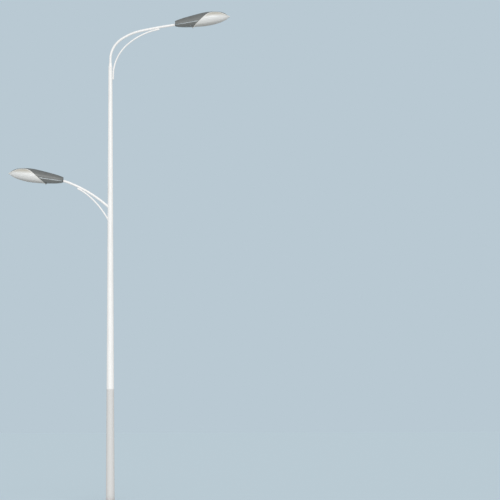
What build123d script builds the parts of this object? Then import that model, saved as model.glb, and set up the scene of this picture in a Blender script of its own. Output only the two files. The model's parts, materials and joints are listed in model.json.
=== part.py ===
from build123d import *
import os
from itertools import pairwise
from math import cos, degrees, radians, sin, tan

# A double-arm street light, from the ground up. The origin is at the centre of the base plate's
# underside. The long upper arm reaches over the road (+X), the shorter lower arm the other way (-X).
# Lengths are in millimetres; slopes are in degrees above level.

os.makedirs("parts", exist_ok=True)

# Fits
SEAT = 0.3  # gap between pieces that rest on each other
SHELL_GAP = 0.6  # gap between a curved shell and what is held inside it
DOOR_GAP = 1.5  # gap all round the access door
PIN_GAP = 0.05  # gap round the hinge pins
KNUCKLE_GAP = 5.0  # gap between fixed and moving knuckles
HINGE_DROP = 4.0  # gap between the knuckles and the shell above them

# Base plate
PLATE_SIDE = 400.0
PLATE_THICKNESS = 20.0
PLATE_CORNER_RADIUS = 30.0
BOLT_SPACING = 300.0
BOLT_HOLE_RADIUS = 14.0
CABLE_HOLE_RADIUS = 50.0

# Pole
POLE_FOOT_DIAMETER = 176.0
POLE_TOP_DIAMETER = 82.0
POLE_TOP_HEIGHT = 8855.0
POLE_WALL = 4.0
COLLAR_HEIGHT = 100.0
COLLAR_TOP_WALL = 4.0

# Access door, on the side away from the viewer
DOOR_WIDTH = 90.0
DOOR_HEIGHT = 400.0
DOOR_CORNER_RADIUS = 20.0
DOOR_MIDDLE = 900.0
DOOR_FRAME_LAP = 22.0
DOOR_FRAME_LIP = 8.0
DOOR_FRAME_THICKNESS = 5.0
POLE_JOINT_RISE = 200.0  # girth joint of the pole's two sections, above the door's top edge

# Arms and braces
ARM_DIAMETER = 48.3
ARM_WALL = 3.2
BRACE_DIAMETER = 30.0
BRACE_WALL = 2.6
SPIGOT_LENGTH = 90.0  # length of arm inside a luminaire
UPPER_RISE = 170.0  # straight tube above the pole's top
UPPER_BEND_RADIUS = 500.0
UPPER_BEND_SLOPE = 35.0
UPPER_SWEEP_RADIUS = 1113.0
UPPER_SWEEP_SLOPE = 12.0
UPPER_REACH_RADIUS = 9200.0
LOWER_ARM_INSET = 15.0  # the arm's inner end, from the pole's axis
LOWER_ARM_HEIGHT = 5980.0
LOWER_ARM_SLOPE = 42.9
LOWER_SWEEP_RADIUS = 2644.0
LOWER_SWEEP_SLOPE = 20.4
LOWER_NECK_RADIUS = 350.0
UPPER_BRACE_DROP = 238.0  # foot of the brace, below the pole's top
UPPER_BRACE_SLOPE = 89.0
UPPER_BRACE_RUN = 100.0
UPPER_BRACE_MIDDLE_SLOPE = 42.0
UPPER_BRACE_END_SLOPE = 9.6
LOWER_BRACE_DROP = 252.0  # where its centre line starts, below the arm's inner end
LOWER_BRACE_INSET = 20.0  # the same point, inside the pole's skin
LOWER_BRACE_SLOPE = 60.0
LOWER_BRACE_RUN = 60.0
LOWER_BRACE_MIDDLE_SLOPE = 43.0
LOWER_BRACE_END_SLOPE = 26.0

# Luminaire, measured along its own axis from the tail, where the arm goes in
HEAD_TILT = 7.5
HEAD_LENGTH = 1100.0
SHELL_WALL = 3.0
WAIST = -7.0  # level of the joint between canopy and tail pan, from the arm's axis
# Sections: share of the length, half width, half height, middle above the arm's axis
HEAD_SECTIONS = (
    (0.0, 58.0, 56.0, 22.0),
    (0.07, 82.0, 77.5, 19.5),
    (0.16, 104.0, 96.0, 20.0),
    (0.33, 146.0, 119.0, 23.0),
    (0.5, 180.0, 136.0, 28.0),
    (0.63, 191.0, 139.0, 31.0),
    (0.78, 172.0, 122.0, 32.0),
    (0.9, 118.0, 88.0, 30.0),
    (0.965, 66.0, 49.0, 21.0),
    (1.0, 24.0, 16.0, 16.0),
)

# Slanting seam between the housing and the bowl. It leaves the belly at its foot, bends over a
# shoulder and follows the crown as the edge of a thin visor.
SEAM_FOOT_BACK = 748.0  # back from the nose
SEAM_SLOPE = 34.0
SEAM_SHOULDER_HEIGHT = 158.0
SEAM_SHOULDER_RADIUS = 260.0
VISOR_MIDDLE_BACK = 170.0  # back from the nose
VISOR_MIDDLE_HEIGHT = 132.0
VISOR_MIDDLE_RADIUS = 350.0
VISOR_NOSE_HEIGHT = 9.5
SEAM_OVERRUN = 50.0  # past the nose
GASKET_WIDTH = 3.0
GASKET_DEPTH = 3.0
GASKET_INSET = 1.0
RIM_WIDTH = 14.0
RIM_DEPTH = 6.0
BOWL_WALL = 4.0
BOWL_INSET = 0.5

# Bowl hinge, under the belly at the seam's foot
HINGE_BACK = 8.0  # pin's axis behind the seam's foot
KNUCKLE_RADIUS = 7.0
PIN_RADIUS = 3.0
PIN_OVERHANG = 3.0
MOVING_KNUCKLE_LENGTH = 56.0
FIXED_KNUCKLE_LENGTH = 24.0
FIXED_LEAF_BACK = 26.0
LEAF_BITE = 3.0  # depth of the leaves' roots in the shells
LATCH_LENGTH = 22.0  # latch button in front of the bowl's nose

# Lamp, reflector and clamp
REFLECTOR_RISE = 4.0  # above the seam
REFLECTOR_THICKNESS = 2.0
REFLECTOR_END_BACK = 220.0  # back from the nose
LAMP_AXIS_HEIGHT = 15.0
LAMPHOLDER_START_BACK = 620.0  # back from the nose
LAMPHOLDER_LENGTH = 90.0
LAMPHOLDER_RADIUS = 27.0
LAMP_LENGTH = 220.0
LAMP_RADIUS = 23.0
LAMP_CAP_RADIUS = 19.5
LAMP_CAP_LENGTH = 34.0
CLAMP_START = 6.0
CLAMP_LENGTH = 64.0

UPPER_BRACE_HEIGHT = POLE_TOP_HEIGHT - UPPER_BRACE_DROP
LOWER_BRACE_HEIGHT = LOWER_ARM_HEIGHT - LOWER_BRACE_DROP
POLE_JOINT_HEIGHT = DOOR_MIDDLE + DOOR_HEIGHT / 2 + POLE_JOINT_RISE
LAMPHOLDER_START = HEAD_LENGTH - LAMPHOLDER_START_BACK
ARM_RADIUS = ARM_DIAMETER / 2
BRACE_RADIUS = BRACE_DIAMETER / 2
FAR = 3000.0  # reach of the shapes that only cut


class Route:
    """Centre line of a tube in the plane of the arms, out from the pole, of runs and bends."""

    def __init__(self, side, out, height, slope):
        self.side = side
        self.start = (out, height, slope)
        self.edges = []
        self.bends = []

    def point(self, out, height):
        return (self.side * out, 0, height)

    def run(self, length):
        out, height, slope = self.start
        end = (out + length * cos(radians(slope)), height + length * sin(radians(slope)))
        self.edges.append(Line(self.point(out, height), self.point(*end)))
        self.start = (*end, slope)

    def bend(self, radius, slope):
        bend = (*self.start, radius)
        middle = on_bend(bend, (self.start[2] + slope) / 2)
        end = on_bend(bend, slope)
        self.edges.append(
            ThreePointArc(self.point(*self.start[:2]), self.point(*middle), self.point(*end))
        )
        self.bends.append(bend)
        self.start = (*end, slope)

    def wire(self):
        return Wire(self.edges)

    def tube(self, radius, wall):
        path = self.wire()
        return sweep((path ^ 0) * (Circle(radius) - Circle(radius - wall)), path=path)

    def rod(self, radius):
        path = self.wire()
        return sweep((path ^ 0) * Circle(radius), path=path)


def on_bend(bend, slope):
    """Point of a bend where it has flattened to the given slope."""
    out, height, start_slope, radius = bend
    return (
        out + radius * (sin(radians(start_slope)) - sin(radians(slope))),
        height + radius * (cos(radians(slope)) - cos(radians(start_slope))),
    )


def under_arm(bend, slope):
    """Centre of a brace that touches the underside of an arm's bend at the given slope."""
    out, height = on_bend(bend, slope)
    drop = ARM_RADIUS + BRACE_RADIUS + SEAT
    return out + drop * sin(radians(slope)), height - drop * cos(radians(slope))


def brace_route(side, out, height, slope, run, middle_slope, end, end_slope, foot_wall=0, end_wall=0):
    """A straight run, then two bends whose radii are solved so that the brace ends under the arm.

    The walls leave the line that much short at its foot and at its end."""
    route = Route(side, out + foot_wall * cos(radians(slope)), height + foot_wall * sin(radians(slope)), slope)
    route.run(run - foot_wall)
    reach = end[0] - route.start[0]
    climb = end[1] - route.start[1]
    a = sin(radians(slope)) - sin(radians(middle_slope))
    b = sin(radians(middle_slope)) - sin(radians(end_slope))
    c = cos(radians(middle_slope)) - cos(radians(slope))
    d = cos(radians(end_slope)) - cos(radians(middle_slope))
    scale = a * d - b * c
    route.bend((reach * d - b * climb) / scale, middle_slope)
    last_radius = (a * climb - reach * c) / scale
    route.bend(last_radius, end_slope + degrees(end_wall / last_radius))
    return route


def pole_radius(height):
    share = (height - PLATE_THICKNESS) / (POLE_TOP_HEIGHT - PLATE_THICKNESS)
    return (POLE_FOOT_DIAMETER + (POLE_TOP_DIAMETER - POLE_FOOT_DIAMETER) * share) / 2


def pole_cone(inset):
    """The pole's tapered form, with its skin moved in by the given amount."""
    height = POLE_TOP_HEIGHT - PLATE_THICKNESS
    foot = POLE_FOOT_DIAMETER / 2 - inset
    top = POLE_TOP_DIAMETER / 2 - inset
    return Pos(0, 0, PLATE_THICKNESS) * Cone(foot, top, height, align=(Align.CENTER, Align.CENTER, Align.MIN))


def pole_shell(inset, wall):
    return pole_cone(inset) - pole_cone(inset + wall)


def above(height):
    return Pos(0, 0, height) * Box(FAR, FAR, POLE_TOP_HEIGHT, align=(Align.CENTER, Align.CENTER, Align.MIN))


def door_prism(grow):
    """Block through the pole's far side, larger than the door opening by the given margin."""
    outline = RectangleRounded(
        DOOR_WIDTH + 2 * grow, DOOR_HEIGHT + 2 * grow, DOOR_CORNER_RADIUS + grow
    )
    return extrude(Plane.XZ * Pos(0, DOOR_MIDDLE) * outline, amount=-POLE_FOOT_DIAMETER)


def base_plate():
    plate = extrude(RectangleRounded(PLATE_SIDE, PLATE_SIDE, PLATE_CORNER_RADIUS), amount=PLATE_THICKNESS)
    hole = Cylinder(BOLT_HOLE_RADIUS, 3 * PLATE_THICKNESS)
    for place in GridLocations(BOLT_SPACING, BOLT_SPACING, 2, 2):
        plate -= place * hole
    return plate - Cylinder(CABLE_HOLE_RADIUS, 3 * PLATE_THICKNESS)


def pole_top_collar():
    """Reducing cone that closes the pole's top round the thin arm."""
    cone = Cone(
        POLE_TOP_DIAMETER / 2,
        ARM_RADIUS + SEAT + COLLAR_TOP_WALL,
        COLLAR_HEIGHT,
        align=(Align.CENTER, Align.CENTER, Align.MIN),
    )
    return Pos(0, 0, POLE_TOP_HEIGHT) * (cone - Cylinder(ARM_RADIUS + SEAT, 3 * COLLAR_HEIGHT))


def upper_arm_route():
    route = Route(1, 0, POLE_TOP_HEIGHT, 90)
    route.run(UPPER_RISE)
    route.bend(UPPER_BEND_RADIUS, UPPER_BEND_SLOPE)
    route.bend(UPPER_SWEEP_RADIUS, UPPER_SWEEP_SLOPE)
    route.bend(UPPER_REACH_RADIUS, HEAD_TILT)
    return route


def lower_arm_route():
    route = Route(-1, LOWER_ARM_INSET, LOWER_ARM_HEIGHT, LOWER_ARM_SLOPE)
    route.bend(LOWER_SWEEP_RADIUS, LOWER_SWEEP_SLOPE)
    route.bend(LOWER_NECK_RADIUS, HEAD_TILT)
    return route


def upper_brace(end):
    """Brace that stands beside the pole's top, closed at both ends."""
    out = pole_radius(UPPER_BRACE_HEIGHT) + BRACE_RADIUS + SEAT
    shape = (
        1, out, UPPER_BRACE_HEIGHT, UPPER_BRACE_SLOPE, UPPER_BRACE_RUN,
        UPPER_BRACE_MIDDLE_SLOPE, end, UPPER_BRACE_END_SLOPE,
    )
    bore = brace_route(*shape, foot_wall=BRACE_WALL, end_wall=BRACE_WALL).rod(BRACE_RADIUS - BRACE_WALL)
    return brace_route(*shape).rod(BRACE_RADIUS) - bore


def lower_brace(end):
    """Brace whose foot is cut to the pole's round side, closed at its far end."""
    out = pole_radius(LOWER_BRACE_HEIGHT) - LOWER_BRACE_INSET
    shape = (
        -1, out, LOWER_BRACE_HEIGHT, LOWER_BRACE_SLOPE, LOWER_BRACE_RUN,
        LOWER_BRACE_MIDDLE_SLOPE, end, LOWER_BRACE_END_SLOPE,
    )
    bore = brace_route(*shape, end_wall=BRACE_WALL).rod(BRACE_RADIUS - BRACE_WALL)
    saddle = Cylinder(pole_radius(LOWER_BRACE_HEIGHT) + SEAT, 2 * POLE_TOP_HEIGHT)
    return brace_route(*shape).rod(BRACE_RADIUS) - bore - saddle


def head_drop(inset):
    """The luminaire's closed drop form, with its skin moved in by the given amount."""
    sections = []
    for share, half_width, half_height, middle in HEAD_SECTIONS:
        along = share * HEAD_LENGTH
        if share == 1:
            along -= inset
        plane = Plane(origin=(along, 0, middle), x_dir=(0, 1, 0), z_dir=(1, 0, 0))
        radii = (half_width - inset, half_height - inset)
        left = EllipticalCenterArc((0, 0), *radii, start_angle=-90, arc_size=180)
        right = EllipticalCenterArc((0, 0), *radii, start_angle=90, arc_size=180)
        sections.append(plane * make_face([left, right]))
    return loft(sections)


def head_shell(inset, wall):
    return head_drop(inset) - head_drop(inset + wall)


def seam_foot():
    """Where the seam leaves the belly, on the skin between two sections."""
    along = HEAD_LENGTH - SEAM_FOOT_BACK
    share = along / HEAD_LENGTH
    for (start, _, start_height, start_middle), (end, _, end_height, end_middle) in pairwise(HEAD_SECTIONS):
        if start <= share <= end:
            part = (share - start) / (end - start)
            belly = start_middle - start_height
            return along, belly + part * (end_middle - end_height - belly)


def seam_outline():
    """Everything below the seam: up the slant, over the shoulder and along the visor's edge."""
    rise = tan(radians(SEAM_SLOPE))
    foot_out, foot_height = seam_foot()
    bottom = -HEAD_LENGTH / 2
    below = (foot_out + (bottom - foot_height) / rise, bottom)
    shoulder = (foot_out + (SEAM_SHOULDER_HEIGHT - foot_height) / rise, SEAM_SHOULDER_HEIGHT)
    middle = (HEAD_LENGTH - VISOR_MIDDLE_BACK, VISOR_MIDDLE_HEIGHT)
    nose = (HEAD_LENGTH + SEAM_OVERRUN, VISOR_NOSE_HEIGHT)
    seam = FilletPolyline(
        below, shoulder, middle, nose, radius=(SEAM_SHOULDER_RADIUS, VISOR_MIDDLE_RADIUS)
    )
    return make_face(seam + Polyline(nose, (nose[0], bottom), below))


def below_seam(gap):
    """Block of everything that lies further below the seam than the gap; above it if negative."""
    outline = offset(seam_outline(), amount=-gap, kind=Kind.INTERSECTION) if gap else seam_outline()
    return extrude(Plane.XZ * outline, amount=HEAD_LENGTH, both=True)


def below_waist(gap):
    return Pos(0, 0, WAIST - gap) * Box(FAR, FAR, FAR, align=(Align.CENTER, Align.CENTER, Align.MAX))


def hinge_place():
    """Pin's axis: behind the seam's foot and under the belly."""
    along, height = seam_foot()
    return along - HINGE_BACK, height - HINGE_DROP - KNUCKLE_RADIUS


def across(radius, length):
    """Round bar along the hinge's axis."""
    along, height = hinge_place()
    return Pos(along, 0, height) * Rot(90, 0, 0) * Cylinder(radius, length)


def leaf(outline, length):
    return extrude(Plane.XZ * make_face(Polyline(*outline, close=True)), amount=length / 2, both=True)


def canopy():
    return head_shell(0, SHELL_WALL) - below_seam(0) - below_waist(0)


def tail_pan():
    """Lower shell of the tail, with the fixed leaf and knuckles of the bowl's hinge."""
    pan = (head_shell(0, SHELL_WALL) & below_waist(SEAT)) - below_seam(0)
    along, height = hinge_place()
    root = seam_foot()[1] + HINGE_DROP + LEAF_BITE
    web = leaf(
        (
            (along, height - KNUCKLE_RADIUS),
            (along, root),
            (along - FIXED_LEAF_BACK, root),
        ),
        fixed_span(),
    )
    knuckles = across(KNUCKLE_RADIUS, fixed_span()) + web
    knuckles -= Box(FAR, MOVING_KNUCKLE_LENGTH + 2 * KNUCKLE_GAP, FAR)
    knuckles -= across(PIN_RADIUS + PIN_GAP, FAR)
    return pan + knuckles


def fixed_span():
    return MOVING_KNUCKLE_LENGTH + 2 * (KNUCKLE_GAP + FIXED_KNUCKLE_LENGTH)


def gasket():
    return (head_shell(GASKET_INSET, GASKET_DEPTH) & below_seam(SEAT)) - below_seam(SEAT + GASKET_WIDTH)


def bowl_frame():
    """Metal rim of the bowl, with the moving leaf and knuckle of its hinge."""
    start = 2 * SEAT + GASKET_WIDTH
    rim = (head_shell(0, RIM_DEPTH) & below_seam(start)) - below_seam(start + RIM_WIDTH)
    along, height = hinge_place()
    slant = sin(radians(SEAM_SLOPE))
    foot_out, foot_height = seam_foot()
    rim_start = foot_out + (start + SEAT) / slant
    rim_end = rim_start + RIM_WIDTH / slant / 2
    bite_start = rim_start + LEAF_BITE / tan(radians(SEAM_SLOPE)) + SEAT
    outer = foot_height - HINGE_DROP
    moving = leaf(
        (
            (along, height - KNUCKLE_RADIUS),
            (rim_end, outer),
            (rim_end, foot_height + LEAF_BITE),
            (bite_start, foot_height + LEAF_BITE),
            (bite_start, outer),
            (along, outer),
        ),
        MOVING_KNUCKLE_LENGTH,
    )
    moving += across(KNUCKLE_RADIUS, MOVING_KNUCKLE_LENGTH)
    return rim + (moving - across(PIN_RADIUS + PIN_GAP, FAR))


def bowl():
    start = 3 * SEAT + GASKET_WIDTH + RIM_WIDTH
    return head_shell(BOWL_INSET, BOWL_WALL) & below_seam(start)


def nose_latch():
    """Rounded button that carries the nose on past the bowl's end."""
    _, half_width, half_height, middle = HEAD_SECTIONS[-1]
    button = scale(Sphere(LATCH_LENGTH), by=(1, half_width / LATCH_LENGTH, half_height / LATCH_LENGTH))
    front = Box(FAR, FAR, FAR, align=(Align.MIN, Align.CENTER, Align.CENTER))
    return Pos(HEAD_LENGTH + SEAT, 0, middle) * (button & front)


def hinge_pin():
    return across(PIN_RADIUS, fixed_span() + 2 * PIN_OVERHANG)


def lamp_bar(radius, start, length):
    """Round bar along the lamp's axis."""
    bar = Cylinder(radius, length, align=(Align.CENTER, Align.CENTER, Align.MIN))
    return Pos(start, 0, LAMP_AXIS_HEIGHT) * Rot(0, 90, 0) * bar


def reflector():
    """Bright sheet just above the seam, open where the lampholder comes through."""
    sheet = head_drop(SHELL_WALL + SEAT) & below_seam(-REFLECTOR_RISE - REFLECTOR_THICKNESS)
    sheet -= below_seam(-REFLECTOR_RISE)
    front = Box(FAR, FAR, FAR, align=(Align.MIN, Align.CENTER, Align.CENTER))
    sheet -= Pos(HEAD_LENGTH - REFLECTOR_END_BACK, 0, 0) * front
    return sheet - lamp_bar(LAMPHOLDER_RADIUS + SEAT, LAMPHOLDER_START, LAMPHOLDER_LENGTH)


def lampholder():
    holder = lamp_bar(LAMPHOLDER_RADIUS, LAMPHOLDER_START, LAMPHOLDER_LENGTH)
    socket_start = LAMPHOLDER_START + LAMPHOLDER_LENGTH - LAMP_CAP_LENGTH
    return holder - lamp_bar(LAMP_CAP_RADIUS + SEAT, socket_start, LAMP_CAP_LENGTH)


def lamp():
    glass_start = LAMPHOLDER_START + LAMPHOLDER_LENGTH + SEAT
    glass = lamp_bar(LAMP_RADIUS, glass_start, LAMP_LENGTH - LAMP_RADIUS)
    glass += Pos(glass_start + LAMP_LENGTH - LAMP_RADIUS, 0, LAMP_AXIS_HEIGHT) * Sphere(LAMP_RADIUS)
    return glass + lamp_bar(LAMP_CAP_RADIUS, glass_start - LAMP_CAP_LENGTH + SEAT, LAMP_CAP_LENGTH)


def spigot_clamp():
    slab = Pos(CLAMP_START, 0, 0) * Box(CLAMP_LENGTH, FAR, FAR, align=(Align.MIN, Align.CENTER, Align.CENTER))
    bore = Rot(0, 90, 0) * Cylinder(ARM_RADIUS + SEAT, FAR)
    return (head_drop(SHELL_WALL + SHELL_GAP) & slab) - bore


def head_location(side, route):
    """Place of a luminaire: its tail at the end of an arm's last bend, its nose tilted up."""
    out, height, slope = route.start
    turn = Rot(0, -slope, 0) if side > 0 else Rot(0, slope, 0) * Rot(0, 0, 180)
    return Pos(side * out, 0, height) * turn


HEAD_PIECES = {
    "canopy": canopy,
    "tail_pan": tail_pan,
    "spigot_clamp": spigot_clamp,
    "gasket": gasket,
    "bowl_frame": bowl_frame,
    "bowl": bowl,
    "nose_latch": nose_latch,
    "hinge_pin": hinge_pin,
    "reflector": reflector,
    "lampholder": lampholder,
    "lamp": lamp,
}


def build():
    """Every piece of the street light, by name."""
    nodes = {"base_plate": base_plate()}
    upper = upper_arm_route()
    lower = lower_arm_route()
    upper_head = head_location(1, upper)
    lower_head = head_location(-1, lower)
    upper_end = under_arm(upper.bends[-1], UPPER_BRACE_END_SLOPE)
    lower_end = under_arm(lower.bends[0], LOWER_BRACE_END_SLOPE)
    upper.run(SPIGOT_LENGTH)
    lower.run(SPIGOT_LENGTH)

    arm_hole = lower.rod(ARM_RADIUS + SEAT)
    pole = pole_shell(0, POLE_WALL)
    nodes["pole_door_section"] = pole - above(POLE_JOINT_HEIGHT) - door_prism(0)
    nodes["pole_shaft"] = (pole & above(POLE_JOINT_HEIGHT + SEAT)) - arm_hole
    frame = pole_shell(POLE_WALL + SHELL_GAP, DOOR_FRAME_THICKNESS) & door_prism(DOOR_FRAME_LAP)
    nodes["door_frame"] = frame - door_prism(-DOOR_FRAME_LIP)
    nodes["access_door"] = pole & door_prism(-DOOR_GAP)
    nodes["pole_top_collar"] = pole_top_collar()
    nodes["upper_arm"] = upper.tube(ARM_RADIUS, ARM_WALL)
    nodes["upper_brace"] = upper_brace(upper_end)
    nodes["lower_arm"] = lower.tube(ARM_RADIUS, ARM_WALL)
    nodes["lower_brace"] = lower_brace(lower_end)

    for name, make in HEAD_PIECES.items():
        piece = make()
        nodes[f"upper_{name}"] = upper_head * piece
        nodes[f"lower_{name}"] = lower_head * piece
    return nodes


if __name__ == "__main__":
    for name, piece in build().items():
        export_step(piece, f"parts/{name}.step", write_pcurves=False)
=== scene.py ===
"""Finishes, fastenings and stage of a tall double-arm street light.

The metal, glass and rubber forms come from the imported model. This file gives each of them its
surface, adds the bolts, screws, welds, seals and latches, and sets the floor, light and camera.
Lengths are in metres, with the ground at height zero and the long arm along +X.
"""

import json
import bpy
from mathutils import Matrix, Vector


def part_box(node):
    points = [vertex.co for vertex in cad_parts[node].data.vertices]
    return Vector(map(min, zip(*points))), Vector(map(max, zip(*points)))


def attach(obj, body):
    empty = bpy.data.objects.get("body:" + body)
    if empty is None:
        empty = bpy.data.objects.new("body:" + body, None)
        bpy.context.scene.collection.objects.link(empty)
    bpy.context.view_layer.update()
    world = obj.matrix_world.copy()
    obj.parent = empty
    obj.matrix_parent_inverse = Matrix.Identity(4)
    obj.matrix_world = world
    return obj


bl_info = {
    "name": "Double-Arm Street Light",
    "version": (1, 0, 0),
    "blender": (4, 5, 0),
    "location": "3D View > Sidebar > Street Light",
    "description": "Finishes, fastenings and stage of a tall double-arm street light",
    "category": "Object",
}

from math import cos, pi, radians, sin, sqrt, tau

import bmesh
import bpy
from bpy.props import FloatProperty, FloatVectorProperty, IntProperty, PointerProperty
from bpy.types import Operator, Panel, PropertyGroup
from mathutils import Matrix, Vector
from mathutils.bvhtree import BVHTree

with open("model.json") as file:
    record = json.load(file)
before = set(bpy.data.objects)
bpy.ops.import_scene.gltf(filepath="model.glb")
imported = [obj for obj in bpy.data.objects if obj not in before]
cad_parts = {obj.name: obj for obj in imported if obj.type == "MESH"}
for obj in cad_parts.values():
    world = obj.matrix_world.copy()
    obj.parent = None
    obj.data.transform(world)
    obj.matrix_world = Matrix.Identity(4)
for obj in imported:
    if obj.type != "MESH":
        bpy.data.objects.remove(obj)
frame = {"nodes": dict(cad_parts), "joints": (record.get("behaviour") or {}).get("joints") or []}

MM = 0.001
UP = Vector((0, 0, 1))
SIDES = ("upper", "lower")

# Steelwork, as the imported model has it
PLATE_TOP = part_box("base_plate")[1].z
POLE_FOOT, POLE_JOINT = (corner.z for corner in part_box("pole_door_section"))
POLE_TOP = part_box("pole_shaft")[1].z
POLE_FOOT_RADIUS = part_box("pole_door_section")[1].x
POLE_TOP_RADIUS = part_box("pole_top_collar")[1].x
COLLAR_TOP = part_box("pole_top_collar")[1].z
ARM_RADIUS = -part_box("upper_arm")[0].x
BRACE_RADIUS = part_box("upper_brace")[1].y
UPPER_RISE = 0.17  # straight length of the arm above the pole's top
UPPER_BENDS = ((0.5, 35), (1.113, 12), (9.2, 7.5))  # radius, slope at the end
UPPER_BRACE_TOUCH = 9.6  # slope of the arm where the brace ends
UPPER_BRACE_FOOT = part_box("upper_brace")[0].z
LOWER_ARM_START = (0.015, 5.98)  # out from the pole's axis, height
LOWER_ARM_SLOPE = 42.9
LOWER_ARM_BEND = 2.644
LOWER_BRACE_START = 5.728  # height where its centre line meets the pole's skin
LOWER_BRACE_INSET = 0.02
LOWER_BRACE_SLOPE = 60
LOWER_BRACE_TOUCH = 26

# Luminaire, along its own axis from the tail
HEAD_TILT = 7.5
HINGE = Vector((0.344, 0, -0.10582))
WAIST = -0.007  # height of the joint between the canopy and the tail pan
WAIST_SPAN = (0.004, 0.467)
TAIL_OPENING = (0.0545, 0.0525, 0.022)  # half width, half height, middle
CLAMP_SCREWS = ((0.022, 0), (0.055, 0))  # along, aside
PAN_SCREWS = ((0.21, 0.045), (0.21, -0.045), (0.3, 0.08), (0.3, -0.08))
CLEAR_OF_HEAD = 0.4  # outside the luminaire, from its axis
CLEAR_OF_NOSE = 0.2  # the same at its slimmer front end
LATCH_MIDDLE = 1.109
LAMP_HEIGHT = 0.015
LAMP_SPAN = (0.5703, 0.7903)


def linear(code):
    """An sRGB hex colour as linear red, green, blue and alpha."""
    shares = [int(code[i:i + 2], 16) / 255 for i in (1, 3, 5)]
    return (*(s / 12.92 if s <= 0.04045 else ((s + 0.055) / 1.055) ** 2.4 for s in shares), 1.0)


def colour(name, description, code):
    return FloatVectorProperty(
        name=name, description=description, subtype="COLOR", size=4, min=0, max=1, default=linear(code)
    )


def size(name, description, millimetres):
    return FloatProperty(
        name=name, description=description, unit="LENGTH", min=0, precision=4, default=millimetres * MM
    )


class StreetLightSteelwork(PropertyGroup):
    """Colours and grain of the pole, arms, braces and foot."""

    paint: colour("Paint", "Powder coat of the pole and arms", "#F3F3F2")
    weathered: colour("Weathered paint", "Paint where rain has left dust", "#D8D8D5")
    # The paint of the lower pole is drawn greyer and duller, up to the height below.
    lower_tone: colour("Lower pole tone", "Greyer, duller paint on the lower pole", "#D5D5D4")
    lower_tone_height: size("Lower tone height", "Height that the greyer paint reaches", 2300)
    grime: colour("Foot grime", "Splashed dirt just above the ground", "#B4B1A8")
    grime_height: size("Grime height", "Height that splashed dirt reaches", 160)
    zinc: colour("Zinc", "Light crystals of the galvanised foot", "#B9BEC0")
    dark_zinc: colour("Dark zinc", "Dark crystals of the galvanised foot", "#878D90")
    spangle: size("Spangle", "Width of one zinc crystal", 9)
    orange_peel: size("Orange peel", "Width of one ripple in the powder coat", 4)


class StreetLightLuminaires(PropertyGroup):
    """Colours and grain of the two luminaires."""

    housing: colour("Housing", "Coat of the cast housing", "#757775")
    # Painted shade: the housing is drawn darker where it faces up.
    shaded_housing_top: colour("Shaded housing top", "Coat drawn darker where it faces up, as painted shade", "#5A5B5A")
    casting: colour("Bare casting", "Uncoated cast aluminium", "#9A9D9E")
    casting_grit: size("Casting grit", "Grain of the cast surface", 1.4)
    rim: colour("Rim", "White stove enamel on the bowl's rim", "#E6E7E4")
    chalked_rim: colour("Chalked rim", "Enamel that sun and rain have dulled", "#CFCFC9")
    glass: colour("Glass", "Pale pressed glass", "#F7F8F7")
    # Painted shade: the hollows between the flutes are drawn darker.
    glass_hollow_shade: colour("Glass hollow shade", "Glass drawn darker in the hollows between its flutes, as painted shade", "#E4E7E6")
    glass_dust: colour("Glass dust", "Dust that has settled on the bowls", "#B5AD9A")
    # Painted shade: the bowls' lowest part is drawn darker.
    glass_underside_shade: colour("Glass underside shade", "Painted shade along the bowls' lowest part", "#9F9A90")
    flutes: IntProperty(name="Flutes", description="Flutes round the whole bowl", min=4, default=40)
    flute_depth: size("Flute depth", "Depth of the hollows between flutes", 2)
    # Painted highlight: the waist moulding is drawn light to give a light streak along the housing.
    highlight_moulding: colour("Moulding", "Anodised moulding along the waist", "#A6A8A8")
    reflector: colour("Reflector", "Bright anodised sheet", "#E3E5E6")
    dimple: size("Dimple", "Width of a dimple in the reflector", 14)
    rubber: colour("Rubber", "Seals", "#2A2B2B")
    rubber_bloom: colour("Rubber bloom", "Dusty bloom on the seals", "#5B5C5A")
    ceramic: colour("Ceramic", "Glazed lampholder", "#ECE8DC")
    ceramic_speck: colour("Ceramic speck", "Fine specks under the glaze", "#C9C1AC")
    bulb: colour("Bulb", "Clear outer bulb of the lamp", "#F6F8F6")
    alumina: colour("Alumina", "Arc tube inside the lamp", "#F2EFE8")
    stainless: colour("Stainless", "Pins, clips and screws", "#C6C8C8")


class StreetLightFastenings(PropertyGroup):
    """Sizes of bolts, screws and welds."""

    bolt_spacing: size("Bolt spacing", "Side of the square of anchor bolts", 300)
    stud: size("Stud", "Diameter of an anchor bolt", 24)
    pitch: size("Pitch", "Pitch of its thread", 3)
    stud_height: size("Stud height", "Height of the anchor bolts above the ground", 58)
    nut_width: size("Nut width", "Across the flats of a nut", 36)
    nut_height: size("Nut height", "Height of a nut", 21.5)
    washer: size("Washer", "Diameter of a washer", 44)
    washer_thickness: size("Washer thickness", "Thickness of a washer", 4)
    screw: size("Screw", "Diameter of a tail screw's head", 10)
    weld: size("Weld", "Half width of a weld bead", 5)
    ripple: size("Ripple", "Distance between the ripples of a weld", 7)


class StreetLightStage(PropertyGroup):
    """Floor, light and camera."""

    floor: colour("Floor", "Plain floor", "#CBDDE7")
    floor_bounce: colour("Floor bounce", "Floor as it throws light back on the object", "#D9D9D8")
    background: colour("Background", "What the camera and reflections see", "#B9C9D3")
    sky: FloatProperty(name="Sky", description="Strength of the even light", min=0, default=0.66)
    main: FloatProperty(
        name="Main light", description="Strength of the soft main light", min=0, default=0.94
    )
    fill: FloatProperty(
        name="Fill light", description="Strength of the low front light", min=0, default=0.96
    )
    softness: FloatProperty(
        name="Softness", description="Angle the main light spans", subtype="ANGLE", default=radians(25)
    )
    lens: FloatProperty(
        name="Lens", description="Focal length of the camera", unit="CAMERA", min=1, default=180
    )


# Materials


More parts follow.
